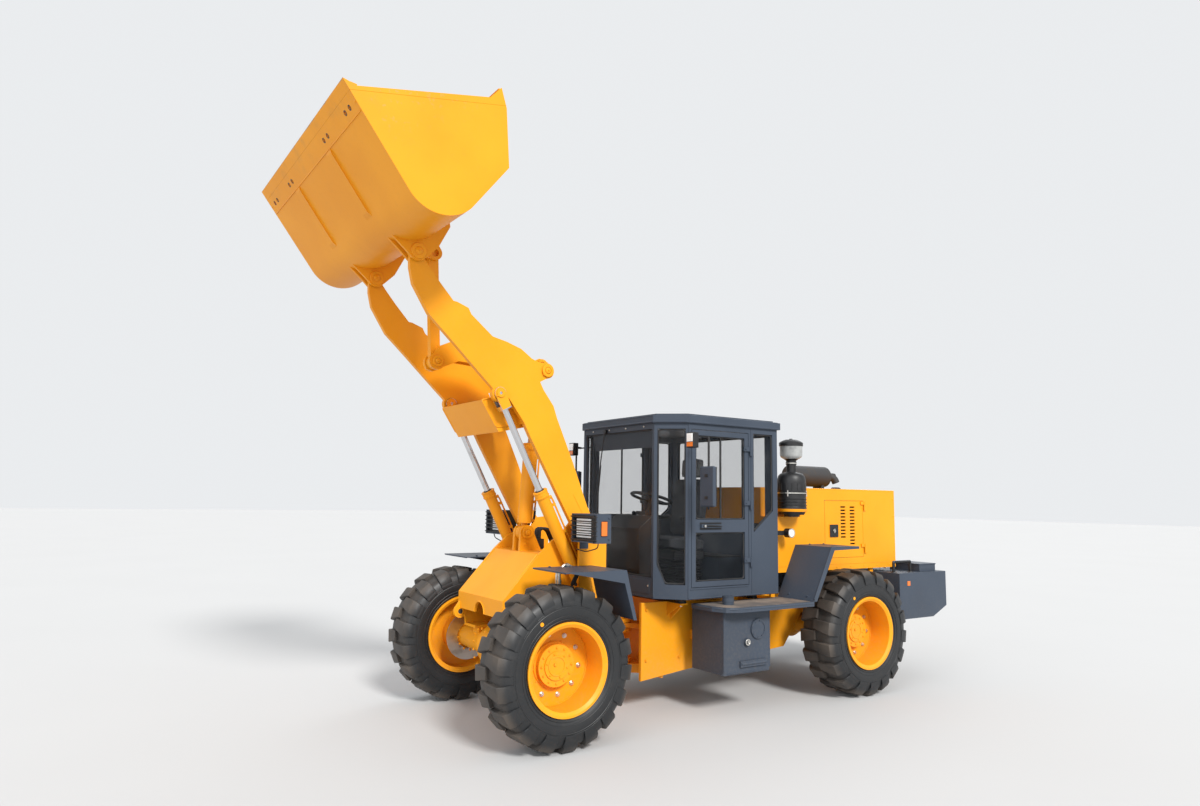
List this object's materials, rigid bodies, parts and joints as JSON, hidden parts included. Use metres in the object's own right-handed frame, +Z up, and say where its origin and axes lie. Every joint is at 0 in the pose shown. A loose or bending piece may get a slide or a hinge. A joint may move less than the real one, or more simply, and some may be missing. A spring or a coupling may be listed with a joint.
{
  "type": "wheel loader",
  "caption": "Compact articulated wheel loader with closed cab, arms raised and general-purpose bucket curled back.",
  "frame": {"origin": "on the ground, below the middle of the bounding box", "axes": "+X forward, +Y to the left of the machine, +Z up"},
  "size_m": [6.5854, 2.354, 4.634],
  "materials": {
    "yellow_paint": "satin",
    "grey_paint": "satin",
    "rubber": "matte",
    "chrome": "polished",
    "glass": "polished",
    "black_plastic": "matte",
    "bare_steel": "matte"
  },
  "bodies": {
    "rear_frame": {"air_cleaner": "black_plastic", "cab_fittings": "grey_paint", "cab_frame": "grey_paint", "cab_glass": "glass", "cab_roof": "grey_paint", "counterweight": "grey_paint", "engine": "bare_steel", "fuel_tank": "grey_paint", "hood": "yellow_paint", "hydraulic_tank": "grey_paint", "muffler": "bare_steel", "rear_axle": "yellow_paint", "rear_fenders": "grey_paint", "rear_frame": "yellow_paint", "seat": "black_plastic", "steering": "black_plastic", "steps": "grey_paint"},
    "front_frame": {"front_frame": "yellow_paint", "front_axle": "yellow_paint", "front_fenders": "grey_paint", "headlights": "grey_paint"},
    "boom": {"boom": "yellow_paint"},
    "rocker": {"rocker": "yellow_paint"},
    "link": {"link": "yellow_paint"},
    "bucket": {"bucket": "yellow_paint"},
    "tilt_barrel": {"tilt_barrel": "yellow_paint"},
    "tilt_rod": {"tilt_rod": "chrome"},
    "lift_barrel_left": {"lift_barrel_left": "yellow_paint"},
    "lift_rod_left": {"lift_rod_left": "chrome"},
    "cab_door_left": {"cab_door_left": "grey_paint", "cab_door_glass_left": "glass"},
    "hood_door_left": {"hood_door_left": "yellow_paint"},
    "wheel_front_left": {"tyre_front_left": "rubber", "rim_front_left": "yellow_paint"},
    "wheel_rear_left": {"tyre_rear_left": "rubber", "rim_rear_left": "yellow_paint"},
    "lift_barrel_right": {"lift_barrel_right": "yellow_paint"},
    "lift_rod_right": {"lift_rod_right": "chrome"},
    "cab_door_right": {"cab_door_right": "grey_paint", "cab_door_glass_right": "glass"},
    "hood_door_right": {"hood_door_right": "yellow_paint"},
    "wheel_front_right": {"tyre_front_right": "rubber", "rim_front_right": "yellow_paint"},
    "wheel_rear_right": {"tyre_rear_right": "rubber", "rim_rear_right": "yellow_paint"}
  },
  "joints": [
    {"name": "steer", "type": "hinge", "parent": "rear_frame", "child": "front_frame", "pos_m": [0.27, 0, 0.46], "axis": [0, 0, 1], "range_deg": [-35, 35]},
    {"name": "roll_front_left", "type": "hinge", "parent": "front_frame", "child": "wheel_front_left", "pos_m": [1.47, 0.882, 0.575], "axis": [0, 1, 0], "continuous": true},
    {"name": "roll_front_right", "type": "hinge", "parent": "front_frame", "child": "wheel_front_right", "pos_m": [1.47, -0.882, 0.575], "axis": [0, 1, 0], "continuous": true},
    {"name": "roll_rear_left", "type": "hinge", "parent": "rear_frame", "child": "wheel_rear_left", "pos_m": [-1.833, 0.882, 0.575], "axis": [0, 1, 0], "continuous": true},
    {"name": "roll_rear_right", "type": "hinge", "parent": "rear_frame", "child": "wheel_rear_right", "pos_m": [-1.833, -0.882, 0.575], "axis": [0, 1, 0], "continuous": true},
    {"name": "lift", "type": "hinge", "parent": "front_frame", "child": "boom", "pos_m": [0.933, 0, 1.48], "axis": [0, -1, 0], "range_deg": [-83, 0]},
    {"name": "tip", "type": "hinge", "parent": "boom", "child": "bucket", "pos_m": [2.5, 0, 3.562], "axis": [0, 1, 0], "range_deg": [-25, 65]},
    {"name": "rocker_swing", "type": "hinge", "parent": "boom", "child": "rocker", "pos_m": [1.369, 0, 2.79], "axis": [0, -1, 0], "range_deg": [-10, 24.4]},
    {"name": "link_swing", "type": "hinge", "parent": "rocker", "child": "link", "pos_m": [2.135, 0, 2.841], "axis": [0, -1, 0], "range_deg": [-42.6, 17]},
    {"name": "lift_swing_left", "type": "hinge", "parent": "front_frame", "child": "lift_barrel_left", "pos_m": [0.925, 0.4625, 0.93], "axis": [0, -1, 0], "range_deg": [-71.19, 1]},
    {"name": "lift_stroke_left", "type": "slide", "parent": "lift_barrel_left", "child": "lift_rod_left", "axis": [0.4661, 0, 0.8847], "range_m": [-0.64993, 0.002]},
    {"name": "lift_swing_right", "type": "hinge", "parent": "front_frame", "child": "lift_barrel_right", "pos_m": [0.925, -0.4625, 0.93], "axis": [0, -1, 0], "range_deg": [-71.19, 1]},
    {"name": "lift_stroke_right", "type": "slide", "parent": "lift_barrel_right", "child": "lift_rod_right", "axis": [0.4661, 0, 0.8847], "range_m": [-0.64993, 0.002]},
    {"name": "tilt_swing", "type": "hinge", "parent": "front_frame", "child": "tilt_barrel", "pos_m": [1.28, 0, 1.487], "axis": [0, -1, 0], "range_deg": [-99.86, 1]},
    {"name": "tilt_stroke", "type": "slide", "parent": "tilt_barrel", "child": "tilt_rod", "axis": [-0.0703, 0, 0.9975], "range_m": [-0.29161, 0.002]},
    {"name": "cab_door_swing_left", "type": "hinge", "parent": "rear_frame", "child": "cab_door_left", "pos_m": [-0.594, 0.774, 1.7], "axis": [0, 0, 1], "range_deg": [0, 85]},
    {"name": "cab_door_swing_right", "type": "hinge", "parent": "rear_frame", "child": "cab_door_right", "pos_m": [-0.594, -0.774, 1.7], "axis": [0, 0, -1], "range_deg": [0, 85]},
    {"name": "hood_door_swing_left", "type": "hinge", "parent": "rear_frame", "child": "hood_door_left", "pos_m": [-2.314, 0.652, 1.5], "axis": [0, 0, 1], "range_deg": [0, 100]},
    {"name": "hood_door_swing_right", "type": "hinge", "parent": "rear_frame", "child": "hood_door_right", "pos_m": [-2.314, -0.652, 1.5], "axis": [0, 0, -1], "range_deg": [0, 100]}
  ],
  "couplings": [
    {"joint": "lift_swing_left", "follows": "lift", "ratio": 0.84568},
    {"joint": "lift_stroke_left", "follows": "lift", "m_per_rad": 0.44727},
    {"joint": "lift_swing_right", "follows": "lift", "ratio": 0.84568},
    {"joint": "lift_stroke_right", "follows": "lift", "m_per_rad": 0.44727},
    {"joint": "tilt_swing", "follows": "lift", "ratio": 1.1911},
    {"joint": "tilt_stroke", "follows": "lift", "m_per_rad": 0.19992},
    {"joint": "rocker_swing", "follows": "tip", "ratio": 0.36},
    {"joint": "link_swing", "follows": "tip", "ratio": -0.64}
  ]
}
